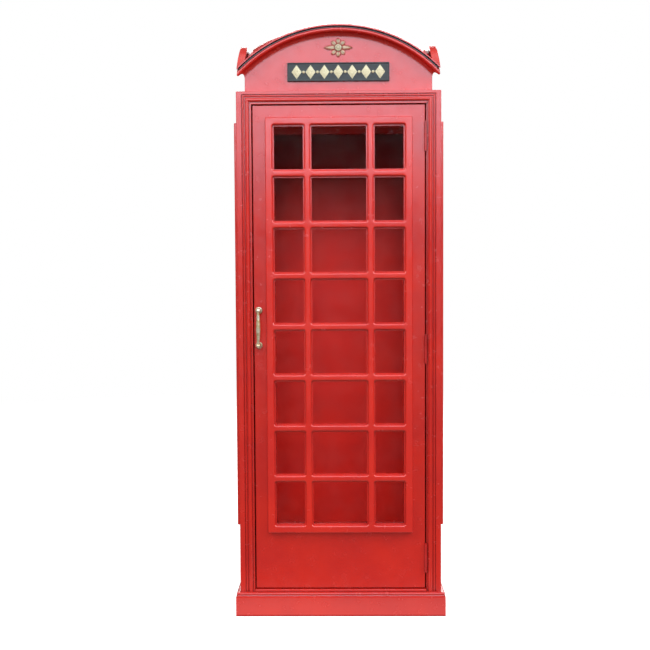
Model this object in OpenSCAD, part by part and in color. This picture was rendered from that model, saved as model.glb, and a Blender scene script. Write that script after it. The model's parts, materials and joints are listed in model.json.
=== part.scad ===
// Telephone booth: a square timber cabin with glazed grilles, a hinged door,
// four arched gables and a sail dome. Millimetres, +Z up, front towards -Y.
// The origin is on the ground, under the middle of the cabin.

/* [Cabin] */
// Outside width and depth of the square cabin
cabin_w = 720; // [600:1:864]
// Height of the shoulder, where the gables step in
shoulder_h = 1865; // [1540:1:2240]
// Width of the square corner posts
post_w = 53; // [48:1:64]
// Depth of the rails that join the posts, at the foot and at the head
rail_d = 50; // [40:1:52]
// Height of the rails at the head
header_h = 45; // [38:1:54]
// Thickness of the side walls
side_t = 20; // [16:1:24]
// Thickness of the back panel
back_t = 18; // [12:1:24]
// Width of the cleats behind the back panel's edges
cleat_w = 20; // [12:1:30]

/* [Base] */
// Height of the plinth boards
plinth_h = 85; // [70:1:102]
// Projection of the plinth boards from the cabin
plinth_t = 15; // [12:1:18]
// Radius of the cove under the plinth's bead
plinth_cove_r = 7; // [4:0.5:8]
// Radius of the bead along the plinth's top
plinth_bead_r = 4.5; // [3:0.5:5.5]
// Thickness of the floor board and the ceiling board
board_t = 18; // [12:1:22]
// Width of the joist under the middle of the floor
joist_w = 50; // [30:1:70]
// Thickness of the door sill
sill_t = 9; // [6:0.5:12]
// How far the sill's nose stands out of the cabin
sill_nose = 4; // [0:0.5:8]

/* [Door] */
// Thickness of the door
door_t = 32; // [26:1:38]
// Distance from the cabin's front face back to the door's front face
door_recess = 6; // [3:0.5:8]
// Gap beside and above the door
door_gap = 4; // [3.6:0.1:5]
// Gap between the door and the sill
sill_gap = 3; // [2:0.5:5]
// Gap between the closed door and its stops
stop_gap = 1.5; // [1:0.1:3]
// Width of the door stops
stop_w = 14; // [10:1:18]
// Depth of the door stops
stop_d = 13.5; // [10:0.5:13.5]

/* [Grilles] */
// Width of the door stile that shows beside the grille
stile_show = 45; // [38:1:54]
// Height of the door rail that shows above the grille
top_show = 44; // [36:1:53]
// Height of the door panel that shows under the grille
panel_show = 205; // [170:1:246]
// Width of a grille's outer border
border_w = 30; // [25:1:36]
// Width of a grille's bars
bar_w = 30; // [24:1:36]
// Width of the narrow panes at both edges
side_pane_w = 102; // [85:1:122]
// Number of panes one above the other
pane_rows = 8; // [4:1:10]
// Thickness of a grille
grille_t = 19; // [15:1:23]
// Thickness of the glass
glass_t = 4; // [3:0.5:6]
// Width of the rebate that the glass lies in
rebate_w = 8; // [5:0.5:10]
// Clearance around glass and between battens in line
fit_gap = 0.5; // [0.2:0.1:1]

/* [Casing] */
// Depth of the rebate that the door casing lies in
casing_d = 12; // [10:0.5:14]
// Radius of the narrow reed
reed_r = 3.5; // [3:0.25:4]
// Radius of the wide reed
wide_reed_r = 7; // [6:0.5:7.5]
// Width of the groove at the casing's outer edge
edge_groove_w = 2; // [1:0.5:3]
// Width of the grooves beside the reeds
reed_groove_w = 3; // [2:0.5:4]
// Width of the flat fillet next to the door
fillet_w = 5; // [4.5:0.5:6]
// Thickness of the casing under its grooves
casing_web = 8.5; // [6:0.5:9]

/* [Roof] */
// Step from the cabin's face back to the gable's face
gable_step = 29; // [27:1:35]
// Thickness of the gable boards
gable_t = 18; // [12:1:22]
// Height above the shoulder where the arches spring
spring_h = 55; // [46:0.5:66]
// Rise of the arches from spring to crown
arch_rise = 138; // [115:0.5:165]
// Width of the arch's cove
arch_cove_r = 14; // [10:0.5:14]
// Radius of the arch's bead
arch_bead_r = 7; // [5:0.5:8]
// Width of the groove over the bead
arch_groove_w = 5; // [3:0.5:6]
// Width of the lip along the arch's top
arch_lip_w = 4; // [3:0.5:6]
// Projection of the arch moulding from the gable
arch_d = 26; // [22:0.5:30]
// Thickness of the dome
dome_t = 9; // [7:0.5:10]
// How far the arch moulding stands above the dome's edge
dome_drop = 22; // [18:0.5:24]

/* [Sign and ornament] */
// Width of the sign
sign_w = 359; // [300:1:430]
// Height of the sign
sign_h = 65; // [54:1:74]
// Thickness of the sign's plate
sign_t = 5; // [3:0.5:8]
// Height of the sign's middle above the shoulder
sign_rise = 70; // [60:1:74]
// Width of the sign's raised border
sign_border = 4; // [3:0.5:6]
// Relief of the border and of the sign's pattern
relief_t = 3; // [2:0.5:4]
// Number of lozenges along the sign
lozenges = 7; // [5:1:9]
// Overall width of the ornament
ornament_w = 102; // [85:1:122]
// Overall height of the ornament
ornament_h = 67; // [56:1:70]
// Relief of the ornament
ornament_t = 6; // [4:0.5:9]
// Distance of the ornament's middle below the crown of the arch
ornament_drop = 38; // [36:1:44]

/* [Handle] */
// Distance from the door's free edge to the handle's axis
handle_inset = 17; // [15:0.5:20]
// Height of the handle's middle above the ground
handle_z = 1034; // [880:1:1240]
// Overall length of the handle's grip, over its balls
handle_l = 140; // [112:1:168]
// Distance from the door's face to the handle's axis
handle_reach = 34; // [28:1:41]
// Radius of the grip at its middle
grip_r = 7.5; // [6:0.5:9]
// Radius of the balls at the grip's ends
ball_r = 8; // [7:0.5:9.5]
// Radius of the round bases
base_r = 12; // [10:0.5:14]
// Thickness of the round bases
base_t = 4; // [3:0.5:6]
// Radius of the necks between base and ball
neck_r = 5; // [4:0.5:6]
// Radius of the handle's bolts
bolt_r = 2.5; // [2:0.5:3]
// Radial clearance of bolts, necks and screws in their bores
bolt_gap = 0.1; // [0.05:0.05:0.2]

/* [Hinges] */
// Length of a hinge
hinge_l = 100; // [80:1:120]
// Distance from the door's top or bottom edge to a hinge's middle
hinge_inset = 110; // [80:1:132]
// Radius of the knuckles
knuckle_r = 4.5; // [4:0.1:4.8]
// Radius of the hinge pin
pin_r = 2.5; // [2:0.1:2.9]
// Radial running clearance on the hinge pin
run_gap = 0.05; // [0.02:0.01:0.1]
// Clearance between two knuckles
knuckle_gap = 0.4; // [0.3:0.1:0.8]
// Thickness of a hinge leaf
leaf_t = 1.5; // [1:0.1:1.5]
// Width of a hinge leaf
leaf_w = 28; // [22:1:30]
// Radius of the hinge screws
screw_r = 1.5; // [1:0.25:2]
// Length of the hinge screws in the wood
screw_l = 16; // [10:1:19]

/* [Hidden] */

$fn = 64;
arc_fn = 180;

RED = "#c9352c";
GLASS = "#c8dcdc80";
BRASS = "#c9a95a";
BLACK = "#1c1c1e";
GILT = "#d9b866";
STEEL = "#9a9a9a";
WOOD = "#b98f5d";

// A cut that passes through a face goes this much past it.
over = 1;

half = cabin_w / 2;
inner = half - post_w;
base_h = plinth_h - board_t;
sill_top = plinth_h + sill_t;

door_half = inner - door_gap;
door_face = door_recess - half;
door_back = door_face + door_t;
door_z0 = sill_top + sill_gap;
head_z = shoulder_h - header_h;
door_z1 = head_z - door_gap;
stop_y = door_back + stop_gap;

grille_w = 2 * (door_half - stile_show);
grille_z0 = door_z0 + panel_show;
grille_z1 = door_z1 - top_show;
grille_h = grille_z1 - grille_z0;
pane_h = (grille_h - 2 * border_w - (pane_rows - 1) * bar_w) / pane_rows;
mid_pane_w = grille_w - 2 * border_w - 2 * bar_w - 2 * side_pane_w;
light_w = grille_w - 2 * border_w;
light_z0 = grille_z0 + border_w;
light_z1 = grille_z1 - border_w;

casing_w = edge_groove_w + 2 * reed_r + 2 * reed_groove_w + 2 * wide_reed_r + fillet_w;
slim_casing_w = casing_w - fillet_w;
casing_x = inner + casing_w;
casing_z1 = head_z + casing_w;

gable_half = half - gable_step;
arch_r = (gable_half * gable_half + arch_rise * arch_rise) / (2 * arch_rise);
arch_z = shoulder_h + spring_h + arch_rise - arch_r;
crown_z = arch_z + arch_r;
arch_out_r = arch_r + arch_cove_r + 2 * arch_bead_r + arch_groove_w + arch_lip_w;
dome_r = sqrt(pow(arch_out_r - dome_drop, 2) + gable_half * gable_half);
dome_in_r = dome_r - dome_t;
gable_r = sqrt(dome_in_r * dome_in_r - gable_half * gable_half);
cove_edge = 1;
bead_seat = 0.7 * arch_d;
groove_d = 0.62 * arch_d;
lip_under_dome = 40;

handle_x = handle_inset - door_half;
handle_y = door_face - handle_reach;
ball_z = handle_l / 2 - ball_r;
neck_in = 0.75 * ball_r;
bolt_in = 12;
bolt_head_r = 2 * bolt_r;
bolt_head_t = 1.2 * bolt_r;

pin_x = door_half + door_gap / 2;
pin_y = door_face - knuckle_r - 0.5;
knuckles = 5;
knuckle_l = hinge_l / knuckles;
leaf_x = door_gap / 2 - leaf_t;
leaf_y = door_face - pin_y;
finger_y = 0.5 * (pin_r + run_gap + knuckle_r) - 0.3;
screw_y = leaf_y + leaf_w / 2;
screw_pitch = 0.35 * hinge_l;
screw_head_r = 2 * screw_r;
screw_head_t = 0.8 * leaf_x;
hinge_zs = [door_z0 + hinge_inset, (door_z0 + door_z1) / 2, door_z1 - hinge_inset];

catch_x = -0.79 * door_half;
catch_l = 56;
catch_h = 14;
catch_d = 20;
catch_gap = 0.3;
plate_l = 44;
plate_h = 9;

// Turns a piece made at the front to another side: 1 right, 2 back, 3 left.
module turn(quarter) {
    rotate([0, 0, 90 * quarter]) children();
}

// Stands a plan drawn across and up at a given depth, facing the front.
module upright(back_y, depth) {
    translate([0, back_y, 0]) rotate([90, 0, 0]) linear_extrude(depth) children();
}

// A cuboid between two opposite corners.
module block(low, high) {
    translate(low) cube(high - low);
}

// ---- base ----

module plinth_profile() {
    cove_z = plinth_h - 2 * plinth_bead_r;
    neck_t = plinth_t - plinth_cove_r;
    difference() {
        square([plinth_t, cove_z]);
        translate([plinth_t, cove_z]) circle(plinth_cove_r);
    }
    square([neck_t, plinth_h]);
    translate([neck_t, plinth_h - plinth_bead_r]) circle(plinth_bead_r);
}

module plinth_board(quarter) {
    out = half + plinth_t;
    color(RED) turn(quarter) intersection() {
        translate([-out, -half, 0]) rotate([90, 0, 90]) linear_extrude(2 * out)
            mirror([1, 0]) plinth_profile();
        linear_extrude(plinth_h)
            polygon([[-out, -out], [out, -out], [half, -half], [-half, -half]]);
    }
}

module base_rails() {
    color(WOOD) for (q = [0:3])
        turn(q) block([-inner, -half, 0], [inner, rail_d - half, base_h]);
}

module floor_joist() {
    run = half - rail_d;
    color(WOOD) block([-joist_w / 2, -run, 0], [joist_w / 2, run, base_h]);
}

// A square board with a corner cut out for each post.
module notched_board(reach, z0) {
    difference() {
        block([-reach, -reach, z0], [reach, reach, z0 + board_t]);
        for (q = [0:3]) turn(q)
            block([inner, inner, z0 - over], [reach + over, reach + over, z0 + board_t + over]);
    }
}

module floor_board() {
    color(WOOD) notched_board(half, base_h);
}

module door_sill() {
    color(RED) block([-inner, -half - sill_nose, plinth_h], [inner, rail_d - half, sill_top]);
}

// ---- posts and headers ----

module post(quarter) {
    color(RED) turn(quarter) block([inner, -half, 0], [half, -inner, shoulder_h]);
}

// The rebate for the casing, from one side of the doorway.
module casing_rebate(z0) {
    block([inner - over, -half - over, z0], [casing_x, casing_d - half, casing_z1]);
}

module post_front_left() {
    color(RED) mirror([1, 0, 0]) difference() {
        block([inner, -half, 0], [half, -inner, shoulder_h]);
        casing_rebate(plinth_h);
    }
}

module post_front_right() {
    color(RED) difference() {
        block([inner, -half, 0], [half, -inner, shoulder_h]);
        casing_rebate(plinth_h);
        hinge_screw_bores(1);
    }
}

module door_header() {
    color(RED) difference() {
        block([-inner, -half, head_z], [inner, rail_d - half, shoulder_h]);
        block([-inner - over, -half - over, head_z - over],
            [inner + over, casing_d - half, casing_z1]);
    }
}

module wall_headers() {
    color(RED) for (q = [1:3])
        turn(q) block([-inner, -half, head_z], [inner, rail_d - half, shoulder_h]);
}

module ceiling_board() {
    color(RED) notched_board(half - rail_d, shoulder_h - board_t);
}

// ---- door casing ----

// The casing's section: across from its outer edge, and up from the rebate.
module casing_profile(width) {
    reed_x = edge_groove_w + reed_r;
    wide_x = reed_x + reed_r + reed_groove_w + wide_reed_r;
    fillet_x = wide_x + wide_reed_r + reed_groove_w;
    square([width, casing_web]);
    translate([reed_x, casing_web]) circle(reed_r);
    translate([wide_x, casing_web]) circle(wide_reed_r);
    if (width > fillet_x) translate([fillet_x, 0]) square([width - fillet_x, casing_d - 1]);
}

module casing_side(width) {
    depth = casing_web + wide_reed_r;
    intersection() {
        translate([-casing_x, casing_d - half, plinth_h]) linear_extrude(casing_z1 - plinth_h)
            mirror([0, 1]) casing_profile(width);
        upright(casing_d - half, depth)
            polygon([[-casing_x, plinth_h], [-inner, plinth_h], [-inner, head_z],
                [-casing_x, casing_z1]]);
    }
}

module casing_left() {
    color(RED) casing_side(casing_w);
}

module casing_right() {
    color(RED) mirror([1, 0, 0]) casing_side(slim_casing_w);
}

module casing_top() {
    depth = casing_web + wide_reed_r;
    color(RED) intersection() {
        translate([-casing_x, casing_d - half, casing_z1]) rotate([90, 0, 90])
            linear_extrude(2 * casing_x) mirror([1, 0]) rotate(-90) casing_profile(casing_w);
        upright(casing_d - half, depth)
            polygon([[-casing_x, casing_z1], [casing_x, casing_z1], [inner, head_z],
                [-inner, head_z]]);
    }
}

module door_stops() {
    back = stop_y + stop_d;
    low = head_z - stop_w;
    gap = catch_l / 2 + fit_gap;
    color(RED) {
        for (m = [0, 1]) mirror([m, 0, 0])
            block([inner - stop_w, stop_y, sill_top], [inner, back, low - fit_gap]);
        block([-inner, stop_y, low], [catch_x - gap, back, head_z]);
        block([catch_x + gap, stop_y, low], [inner, back, head_z]);
    }
}

// ---- framed and glazed walls, drawn as the front one ----

// The rebate around the light, cut into the face of stiles and rails.
module glass_rebate(face) {
    block([-light_w / 2 - rebate_w, face - over, light_z0 - rebate_w],
        [light_w / 2 + rebate_w, face + glass_t, light_z1 + rebate_w]);
}

module stile(outer, face, thick, z0, z1) {
    difference() {
        block([light_w / 2, face, z0], [outer, face + thick, z1]);
        glass_rebate(face);
    }
}

module rail(face, thick, z0, z1) {
    difference() {
        block([-light_w / 2, face, z0], [light_w / 2, face + thick, z1]);
        glass_rebate(face);
    }
}

module glass(face) {
    reach = light_w / 2 + rebate_w - fit_gap;
    rise = rebate_w - fit_gap;
    color(GLASS) block([-reach, face, light_z0 - rise], [reach, face + glass_t, light_z1 + rise]);
}

module grille(face) {
    pane_x = light_w / 2 - side_pane_w;
    color(RED) upright(face, grille_t) difference() {
        translate([-grille_w / 2, grille_z0]) square([grille_w, grille_h]);
        for (row = [0:pane_rows - 1]) translate([0, light_z0 + row * (pane_h + bar_w)]) {
            translate([-mid_pane_w / 2, 0]) square([mid_pane_w, pane_h]);
            for (m = [0, 1]) mirror([m, 0]) translate([pane_x, 0]) square([side_pane_w, pane_h]);
        }
    }
}

module wall_stiles(quarter) {
    color(RED) turn(quarter) for (m = [0, 1]) mirror([m, 0, 0])
        stile(inner, -half, side_t, plinth_h, head_z);
}

module wall_top_rail(quarter) {
    color(RED) turn(quarter) rail(-half, side_t, light_z1, head_z);
}

module wall_lower_panel(quarter) {
    color(RED) turn(quarter) rail(-half, side_t, plinth_h, light_z0);
}

module back_panel() {
    color(RED) block([-inner, half - back_t, plinth_h], [inner, half, head_z]);
}

module back_cleats() {
    front = half - back_t - cleat_w;
    color(RED) for (m = [0, 1]) mirror([m, 0, 0])
        block([inner - cleat_w, front, plinth_h], [inner, half - back_t, head_z]);
}

// ---- roof ----

module gable(quarter, reach) {
    color(RED) turn(quarter) upright(gable_t - gable_half, gable_t) intersection() {
        translate([0, arch_z]) circle(gable_r, $fn = arc_fn);
        translate([-reach, shoulder_h]) square([2 * reach, arch_r]);
    }
}

// The arch moulding's section: radius across, projection up.
module arch_profile() {
    bead_r = arch_r + arch_cove_r + arch_bead_r;
    lip_r = arch_out_r - arch_lip_w;
    difference() {
        translate([arch_r, 0]) square([arch_cove_r, cove_edge + arch_cove_r]);
        translate([arch_r, cove_edge + arch_cove_r]) circle(arch_cove_r);
    }
    translate([arch_r + arch_cove_r, 0]) square([2 * arch_bead_r, bead_seat]);
    translate([bead_r, bead_seat]) circle(arch_bead_r);
    translate([bead_r + arch_bead_r, 0]) square([arch_groove_w, groove_d]);
    translate([lip_r, 0]) square([arch_lip_w, arch_d]);
}

module arch(quarter) {
    out = gable_half + arch_d;
    color(RED) turn(quarter) intersection() {
        translate([0, -gable_half, arch_z]) rotate([90, 0, 0])
            rotate_extrude($fn = arc_fn) arch_profile();
        translate([0, 0, shoulder_h - lip_under_dome]) linear_extrude(arch_out_r)
            polygon([[0, 0], [-out, -out], [out, -out]]);
    }
}

module roof_dome() {
    color(RED) intersection() {
        translate([0, 0, arch_z]) difference() {
            sphere(dome_r, $fn = arc_fn);
            sphere(dome_in_r, $fn = arc_fn);
        }
        block([-gable_half, -gable_half, shoulder_h], [gable_half, gable_half, arch_z + dome_r]);
    }
}

// ---- sign and ornament ----

module sign_plate() {
    color(BLACK) translate([0, 0, shoulder_h + sign_rise - sign_h / 2]) {
        upright(-gable_half, sign_t) translate([-sign_w / 2, 0]) square([sign_w, sign_h]);
        upright(-gable_half - sign_t, relief_t) difference() {
            translate([-sign_w / 2, 0]) square([sign_w, sign_h]);
            translate([sign_border - sign_w / 2, sign_border])
                square([sign_w - 2 * sign_border, sign_h - 2 * sign_border]);
        }
    }
}

// A row of lozenges with a small stud between each two.
module sign_relief() {
    field_h = sign_h - 4 * sign_border;
    pitch = (sign_w - 4 * sign_border) / lozenges;
    color(GILT) translate([0, 0, shoulder_h + sign_rise]) upright(-gable_half - sign_t, relief_t) {
        for (i = [0:lozenges - 1]) translate([(i - (lozenges - 1) / 2) * pitch, 0])
            polygon([[-0.36 * pitch, 0], [0, -field_h / 2], [0.36 * pitch, 0], [0, field_h / 2]]);
        for (i = [1:lozenges - 1]) translate([(i - lozenges / 2) * pitch, 0])
            circle(0.1 * pitch);
    }
}

// A round flower with eight petals, and a leaf at each side of it.
module ornament() {
    petal_r = 0.15 * ornament_h;
    ring_r = ornament_h / 2 - petal_r;
    leaf_r = 0.33 * ornament_w;
    leaf_rise = 0.25 * ornament_w;
    leaf_l = sqrt(leaf_r * leaf_r - leaf_rise * leaf_rise);
    color(RED) translate([0, -gable_half, crown_z - ornament_drop]) rotate([90, 0, 0]) {
        linear_extrude(0.7 * ornament_t) {
            circle(ring_r);
            for (i = [0:7]) rotate(45 * i) translate([ring_r, 0]) circle(petal_r);
            for (m = [0, 1]) mirror([m, 0]) translate([ornament_w / 2 - leaf_l, 0]) intersection() {
                translate([0, leaf_rise]) circle(leaf_r);
                translate([0, -leaf_rise]) circle(leaf_r);
            }
        }
        cylinder(h = ornament_t, r = ring_r / 2);
    }
}

// ---- door ----

module door_hinge_stile() {
    color(RED) difference() {
        stile(door_half, door_face, door_t, door_z0, door_z1);
        hinge_screw_bores(-1);
    }
}

module door_latch_stile() {
    color(RED) difference() {
        mirror([1, 0, 0]) stile(door_half, door_face, door_t, door_z0, door_z1);
        for (s = [-1, 1]) translate([handle_x, door_back + over, handle_z + s * ball_z])
            rotate([90, 0, 0]) cylinder(h = door_t + 2 * over, r = bolt_r + bolt_gap);
    }
}

module door_top_rail() {
    color(RED) rail(door_face, door_t, light_z1, door_z1);
}

module door_lower_panel() {
    color(RED) rail(door_face, door_t, door_z0, light_z0);
}

module catch_body() {
    color(STEEL) block([catch_x - catch_l / 2, stop_y, head_z - catch_h],
        [catch_x + catch_l / 2, stop_y + catch_d, head_z]);
}

module catch_plate() {
    color(STEEL) block([catch_x - plate_l / 2, door_back, door_z1 - plate_h - 1],
        [catch_x + plate_l / 2, stop_y - catch_gap, door_z1 - 1]);
}

// ---- handle ----

module grip_profile() {
    waist_r = 0.62 * grip_r;
    steps = 8;
    bulge = [for (i = [-steps:steps])
        [waist_r + (grip_r - waist_r) * pow(cos(90 * i / steps), 2), ball_z * i / steps]];
    polygon(concat([[0, -ball_z]], bulge, [[0, ball_z]]));
    intersection() {
        translate([0, -handle_l]) square([base_r, 2 * handle_l]);
        for (s = [-1, 1]) translate([0, s * ball_z]) circle(ball_r);
    }
}

// A round bar from the door's face towards the handle's axis, at both balls.
module handle_bars(from, length, radius) {
    for (s = [-1, 1]) translate([handle_x, door_face - from, handle_z + s * ball_z])
        rotate([90, 0, 0]) cylinder(h = length, r = radius);
}

module handle_grip() {
    neck_end = handle_reach - ball_r + neck_in;
    color(BRASS) difference() {
        translate([handle_x, handle_y, handle_z]) rotate_extrude() grip_profile();
        handle_bars(base_t, neck_end - base_t, neck_r + bolt_gap);
    }
}

module handle_bases() {
    neck_end = handle_reach - ball_r + neck_in;
    color(BRASS) difference() {
        union() {
            handle_bars(0, base_t, base_r);
            handle_bars(0, neck_end, neck_r);
        }
        handle_bars(-over, bolt_in + over, bolt_r + bolt_gap);
    }
}

module handle_bolts() {
    color(STEEL) {
        handle_bars(-door_t, door_t + bolt_in, bolt_r);
        handle_bars(-door_t - bolt_head_t, bolt_head_t, bolt_head_r);
    }
}

// ---- hinges ----

// Puts a hinge piece, drawn about its pin, at each of the three hinges.
module at_hinges() {
    for (z = hinge_zs) translate([pin_x, pin_y, z]) children();
}

module hinge_leaf(first) {
    difference() {
        union() {
            block([leaf_x, leaf_y, -hinge_l / 2], [leaf_x + leaf_t, leaf_y + leaf_w, hinge_l / 2]);
            for (i = [first:2:knuckles - 1]) {
                z = i * knuckle_l - hinge_l / 2 + knuckle_gap / 2;
                translate([0, 0, z]) cylinder(h = knuckle_l - knuckle_gap, r = knuckle_r);
                block([leaf_x, finger_y, z],
                    [leaf_x + leaf_t, leaf_y + 1, z + knuckle_l - knuckle_gap]);
            }
        }
        translate([0, 0, -hinge_l]) cylinder(h = 2 * hinge_l, r = pin_r + run_gap);
        screw_rods(0, leaf_x + leaf_t + over, screw_r + bolt_gap);
    }
}

// Three rods across the leaf, from a distance beside the pin.
module screw_rods(from, length, radius) {
    for (s = [-1:1]) translate([from, screw_y, s * screw_pitch])
        rotate([0, 90, 0]) cylinder(h = length, r = radius);
}

// The bores for the hinge screws: side 1 in the post, side -1 in the stile.
module hinge_screw_bores(side) {
    at_hinges() mirror([side < 0 ? 1 : 0, 0, 0])
        screw_rods(0, door_gap / 2 + screw_l + over, screw_r + bolt_gap);
}

module hinge_screws() {
    screw_rods(leaf_x, leaf_t + screw_l, screw_r);
    screw_rods(leaf_x - screw_head_t, screw_head_t, screw_head_r);
}

module hinge_frame_leaves() {
    color(BRASS) at_hinges() hinge_leaf(0);
}

module hinge_frame_screws() {
    color(BRASS) at_hinges() hinge_screws();
}

module hinge_door_leaves() {
    color(BRASS) at_hinges() mirror([1, 0, 0]) hinge_leaf(1);
}

module hinge_door_screws() {
    color(BRASS) at_hinges() mirror([1, 0, 0]) hinge_screws();
}

module hinge_pins() {
    tip = 2;
    color(BRASS) at_hinges() {
        translate([0, 0, -hinge_l / 2]) cylinder(h = hinge_l, r = pin_r);
        for (s = [-1, 1]) translate([0, 0, s * hinge_l / 2 + (s < 0 ? -tip : 0)])
            cylinder(h = tip, r = 0.9 * knuckle_r);
    }
}

plinth_board(0);  // plinth_front
plinth_board(1);  // plinth_right
plinth_board(2);  // plinth_back
plinth_board(3);  // plinth_left
base_rails();
floor_joist();
floor_board();
door_sill();
post_front_left();
post_front_right();
post(1);  // post_back_right
post(2);  // post_back_left
door_header();
wall_headers();
casing_left();
casing_right();
casing_top();
door_stops();
wall_stiles(1);  // stiles_right
wall_stiles(3);  // stiles_left
wall_top_rail(1);  // top_rail_right
wall_top_rail(3);  // top_rail_left
wall_lower_panel(1);  // lower_panel_right
wall_lower_panel(3);  // lower_panel_left
turn(1) grille(-half);  // grille_right
turn(3) grille(-half);  // grille_left
turn(1) glass(-half);  // glass_right
turn(3) glass(-half);  // glass_left
back_panel();
back_cleats();
ceiling_board();
gable(0, gable_half);  // gable_front
gable(2, gable_half);  // gable_back
gable(1, gable_half - gable_t);  // gable_right
gable(3, gable_half - gable_t);  // gable_left
arch(0);  // arch_front
arch(1);  // arch_right
arch(2);  // arch_back
arch(3);  // arch_left
roof_dome();
sign_plate();
sign_relief();
ornament();
catch_body();
hinge_frame_leaves();
hinge_pins();
hinge_frame_screws();
door_hinge_stile();
door_latch_stile();
door_top_rail();
door_lower_panel();
grille(door_face);  // door_grille
glass(door_face);  // door_glass
handle_grip();
handle_bases();
handle_bolts();
hinge_door_leaves();
hinge_door_screws();
catch_plate();
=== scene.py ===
"""Telephone booth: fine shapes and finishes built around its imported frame.

Metres, in the frame's own place: the front faces -Y, up is +Z, and the origin is on the
ground under the middle of the cabin.
"""

import json
import logging
import math
from collections.abc import Callable, Iterator, Sequence
from contextlib import contextmanager
from dataclasses import dataclass
from enum import Enum

import bmesh
import bpy
from mathutils import Matrix, Vector

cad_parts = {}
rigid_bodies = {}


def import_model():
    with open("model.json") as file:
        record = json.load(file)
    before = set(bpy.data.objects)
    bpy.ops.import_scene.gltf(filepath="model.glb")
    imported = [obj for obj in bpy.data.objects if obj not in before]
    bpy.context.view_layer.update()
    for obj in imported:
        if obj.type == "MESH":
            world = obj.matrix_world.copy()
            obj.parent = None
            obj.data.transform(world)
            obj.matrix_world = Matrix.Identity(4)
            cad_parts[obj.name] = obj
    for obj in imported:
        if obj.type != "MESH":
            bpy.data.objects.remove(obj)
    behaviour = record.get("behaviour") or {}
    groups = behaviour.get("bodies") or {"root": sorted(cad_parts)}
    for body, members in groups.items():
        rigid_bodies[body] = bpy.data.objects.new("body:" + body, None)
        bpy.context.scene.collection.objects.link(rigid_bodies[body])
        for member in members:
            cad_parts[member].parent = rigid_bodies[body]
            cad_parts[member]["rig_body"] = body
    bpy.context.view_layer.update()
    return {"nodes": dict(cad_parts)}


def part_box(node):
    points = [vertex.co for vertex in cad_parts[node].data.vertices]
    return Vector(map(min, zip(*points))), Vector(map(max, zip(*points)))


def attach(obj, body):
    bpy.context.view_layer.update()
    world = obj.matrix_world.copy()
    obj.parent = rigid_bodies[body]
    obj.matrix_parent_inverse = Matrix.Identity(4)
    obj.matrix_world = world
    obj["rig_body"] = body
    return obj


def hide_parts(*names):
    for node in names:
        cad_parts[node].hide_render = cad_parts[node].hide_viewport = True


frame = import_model()

logging.basicConfig(level=logging.INFO, format="%(message)s")
log = logging.getLogger("booth")

MM = 0.001
TOUCH = 0.02 * MM
# No edge on the booth's turned parts is this long, so none of theirs is rounded.
NO_EDGE = 1.0
X, Y, Z = 0, 1, 2
FULL_TURN = 2 * math.pi
QUARTER = math.pi / 2
Piece = bpy.types.Object
Tree = bpy.types.NodeTree
Point = Sequence[float]


class Kind(Enum):
    """What an edit-mode selection is made of."""

    VERTS = "VERT"
    EDGES = "EDGE"
    FACES = "FACE"


# ---- the workshop: small tools that every sub-assembly uses ----


def deselect_all() -> None:
    """Leave nothing selected, so that an operator acts only on what comes next."""
    bpy.ops.object.select_all(action="DESELECT")


def take_up(piece: Piece) -> None:
    """Select one piece alone and make it the active one."""
    deselect_all()
    piece.select_set(True)
    bpy.context.view_layer.objects.active = piece


@contextmanager
def editing(piece: Piece) -> Iterator[None]:
    """Open a piece in edit mode with nothing selected, and close it afterwards.

    Args:
        piece: the piece to work on.
    """
    take_up(piece)
    bpy.ops.object.mode_set(mode="EDIT")
    bpy.ops.mesh.select_all(action="DESELECT")
    yield
    bpy.ops.object.mode_set(mode="OBJECT")


def pick(piece: Piece, kind: Kind, wanted: Callable) -> int:
    """Select the vertices, edges or faces of an opened piece that pass a test.

    Args:
        piece: the piece that is open in edit mode.
        kind: what to select.
        wanted: a test that takes one vertex, edge or face.

    Returns:
        How many were selected.
    """
    bpy.ops.mesh.select_mode(type=kind.value)
    bpy.ops.mesh.select_all(action="DESELECT")
    net = bmesh.from_edit_mesh(piece.data)
    group = {Kind.VERTS: net.verts, Kind.EDGES: net.edges, Kind.FACES: net.faces}[kind]
    chosen = [item for item in group if wanted(item)]
    for item in chosen:
        item.select_set(True)
    net.select_flush_mode()
    bmesh.update_edit_mesh(piece.data)
    return len(chosen)


def settle(piece: Piece, at: Point = (0, 0, 0), turn: Point = (0, 0, 0),
           scale: Point = (1, 1, 1)) -> Piece:
    """Put a piece in its place and leave its object at the origin, unturned and unscaled.

    Args:
        piece: the piece to place.
        at: where its origin goes, in metres.
        turn: its turn about X, Y and Z, in radians.
        scale: its scale along X, Y and Z.

    Returns:
        The same piece.
    """
    take_up(piece)
    piece.location, piece.rotation_euler, piece.scale = at, turn, scale
    bpy.ops.object.transform_apply(location=True, rotation=True, scale=True)
    return piece


def face_outwards(piece: Piece) -> None:
    """Merge doubled vertices and turn every face outwards.

    Args:
        piece: the piece to clean.
    """
    with editing(piece):
        bpy.ops.mesh.select_all(action="SELECT")
        bpy.ops.mesh.remove_doubles(threshold=TOUCH / 2)
        bpy.ops.mesh.normals_make_consistent(inside=False)


def smooth(piece: Piece, angle: float = 32, even: bool = True) -> Piece:
    """Shade a piece smooth across shallow edges, keeping its wide faces flat.

    Args:
        piece: the piece to shade.
        angle: edges steeper than this many degrees stay sharp.
        even: weight the normals by face area.

    Returns:
        The same piece.
    """
    take_up(piece)
    bpy.ops.object.shade_smooth_by_angle(angle=math.radians(angle))
    if even:
        bpy.ops.object.modifier_add(type="WEIGHTED_NORMAL")
        piece.modifiers[-1].keep_sharp = True
        bpy.ops.object.modifier_apply(modifier=piece.modifiers[-1].name)
    return piece


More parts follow.
